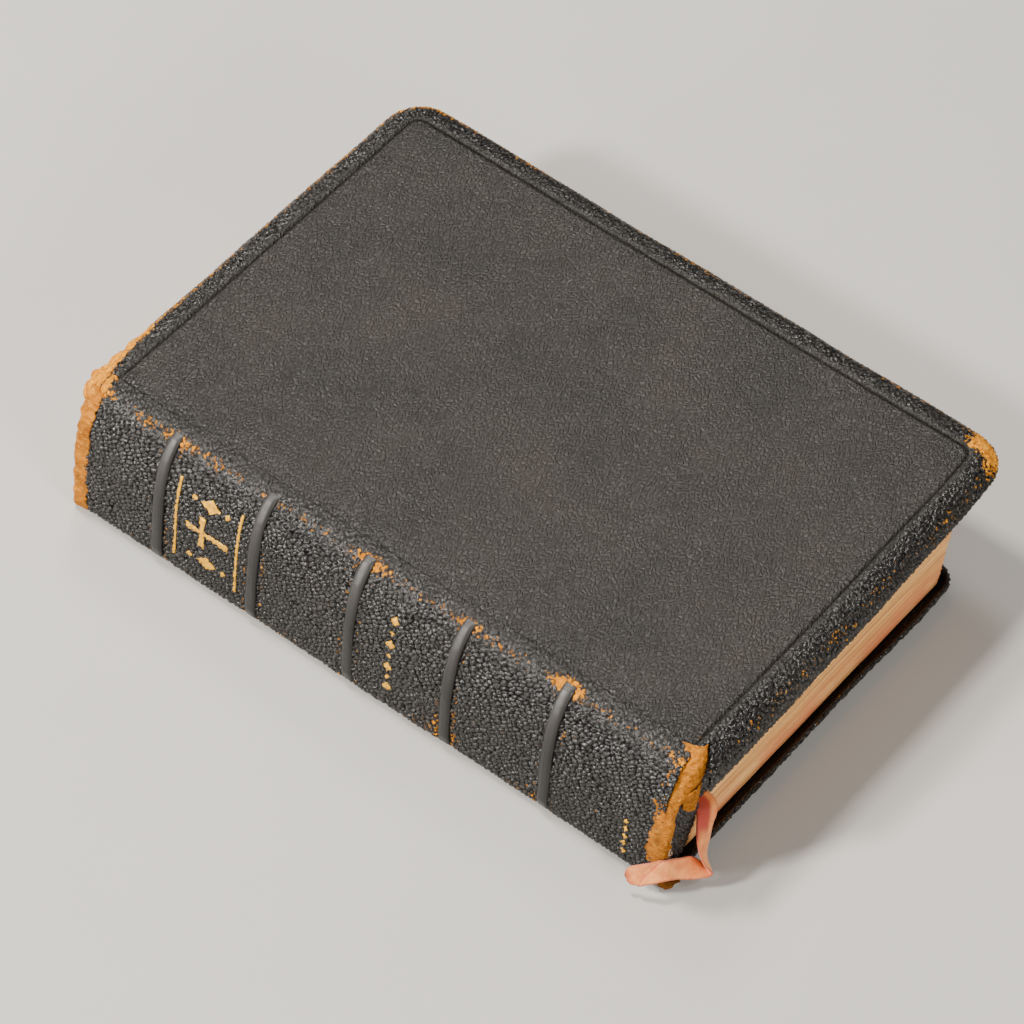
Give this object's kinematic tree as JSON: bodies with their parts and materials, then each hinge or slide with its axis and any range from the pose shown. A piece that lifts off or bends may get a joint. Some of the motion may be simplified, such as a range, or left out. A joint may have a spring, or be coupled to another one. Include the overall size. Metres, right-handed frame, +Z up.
{
  "type": "bible",
  "caption": "Worn leather-bound Bible with limp overhanging yapp covers, rounded spine with raised bands, gilt ornaments, opening covers and block, and a ribbon marker.",
  "frame": {"origin": "middle of the footprint, on the surface that the back cover rests on, with the ribbon marker left out", "axes": "+X from the spine to the fore-edge, +Y from tail to head, +Z up through the thickness from back cover to front cover"},
  "size_m": [0.1528, 0.2133, 0.042],
  "materials": {
    "black_leather": "satin",
    "polished_band_leather": "satin",
    "worn_leather": "matte",
    "pages": "matte",
    "endpaper": "matte",
    "kraft_paper": "matte",
    "card": "matte",
    "mull_cloth": "matte",
    "linen_tape": "matte",
    "endband_cloth": "matte",
    "gold_tooling": "satin",
    "ribbon": "satin"
  },
  "bodies": {
    "back_cover": {"back_cover_leather": "black_leather", "back_cover_board": "card", "back_pastedown": "endpaper"},
    "back_half": {"back_section_1": "pages", "back_section_2": "pages", "back_section_3": "pages", "back_section_4": "pages", "back_section_5": "pages", "back_raised_band_1": "polished_band_leather", "back_raised_band_2": "polished_band_leather", "back_raised_band_3": "polished_band_leather", "back_raised_band_4": "polished_band_leather", "back_raised_band_5": "polished_band_leather", "back_spine_leather": "black_leather", "back_spine_paper": "kraft_paper", "back_mull": "mull_cloth", "back_sewing_tapes": "linen_tape", "back_headband": "endband_cloth", "back_tailband": "endband_cloth", "back_head_cap": "worn_leather", "back_tail_cap": "worn_leather", "back_title_ornament": "gold_tooling", "back_row_ornament": "gold_tooling", "back_foot_ornament": "gold_tooling", "ribbon_marker": "ribbon"},
    "front_half": {"front_section_1": "pages", "front_section_2": "pages", "front_section_3": "pages", "front_section_4": "pages", "front_section_5": "pages", "front_raised_band_1": "polished_band_leather", "front_raised_band_2": "polished_band_leather", "front_raised_band_3": "polished_band_leather", "front_raised_band_4": "polished_band_leather", "front_raised_band_5": "polished_band_leather", "front_spine_leather": "black_leather", "front_spine_paper": "kraft_paper", "front_mull": "mull_cloth", "front_sewing_tapes": "linen_tape", "front_headband": "endband_cloth", "front_tailband": "endband_cloth", "front_head_cap": "worn_leather", "front_tail_cap": "worn_leather", "front_title_ornament": "gold_tooling", "front_row_ornament": "gold_tooling"},
    "front_cover": {"front_cover_leather": "black_leather", "front_cover_board": "card", "front_pastedown": "endpaper"},
    "front_flyleaf": {"front_flyleaf": "endpaper"},
    "back_flyleaf": {"back_flyleaf": "endpaper"},
    "middle_leaf_1": {"middle_leaf_1": "pages"},
    "middle_leaf_2": {"middle_leaf_2": "pages"},
    "middle_leaf_3": {"middle_leaf_3": "pages"}
  },
  "joints": [
    {"name": "back_cover_hinge", "type": "hinge", "parent": "back_cover", "child": "back_half", "pos_m": [-0.07042, 0, -0.00015], "axis": [0, -1, 0], "range_deg": [0, 95]},
    {"name": "block_opening", "type": "hinge", "parent": "back_half", "child": "front_half", "pos_m": [-0.07122, 0, 0.021], "axis": [0, -1, 0], "range_deg": [0, 150]},
    {"name": "front_cover_hinge", "type": "hinge", "parent": "front_half", "child": "front_cover", "pos_m": [-0.06202, 0, 0.04215], "axis": [0, -1, 0], "range_deg": [0, 120]},
    {"name": "front_flyleaf_turn", "type": "hinge", "parent": "front_half", "child": "front_flyleaf", "pos_m": [-0.06082, 0, 0.0393], "axis": [0, -1, 0], "range_deg": [0, 70]},
    {"name": "back_flyleaf_turn", "type": "hinge", "parent": "back_half", "child": "back_flyleaf", "pos_m": [-0.06922, 0, 0.0027], "axis": [0, 1, 0], "range_deg": [0, 60]},
    {"name": "middle_leaf_1_turn", "type": "hinge", "parent": "back_half", "child": "middle_leaf_1", "pos_m": [-0.07122, 0, 0.021], "axis": [0, -1, 0], "range_deg": [0, 40]},
    {"name": "middle_leaf_2_turn", "type": "hinge", "parent": "back_half", "child": "middle_leaf_2", "pos_m": [-0.07122, 0, 0.021], "axis": [0, -1, 0], "range_deg": [0, 78]},
    {"name": "middle_leaf_3_turn", "type": "hinge", "parent": "back_half", "child": "middle_leaf_3", "pos_m": [-0.07122, 0, 0.021], "axis": [0, -1, 0], "range_deg": [0, 116]}
  ],
  "couplings": [
    {"joint": "front_flyleaf_turn", "follows": "front_cover_hinge", "ratio": 0.55},
    {"joint": "back_flyleaf_turn", "follows": "back_cover_hinge", "ratio": 0.55},
    {"joint": "middle_leaf_1_turn", "follows": "block_opening", "ratio": 0.25},
    {"joint": "middle_leaf_2_turn", "follows": "block_opening", "ratio": 0.5},
    {"joint": "middle_leaf_3_turn", "follows": "block_opening", "ratio": 0.75}
  ]
}
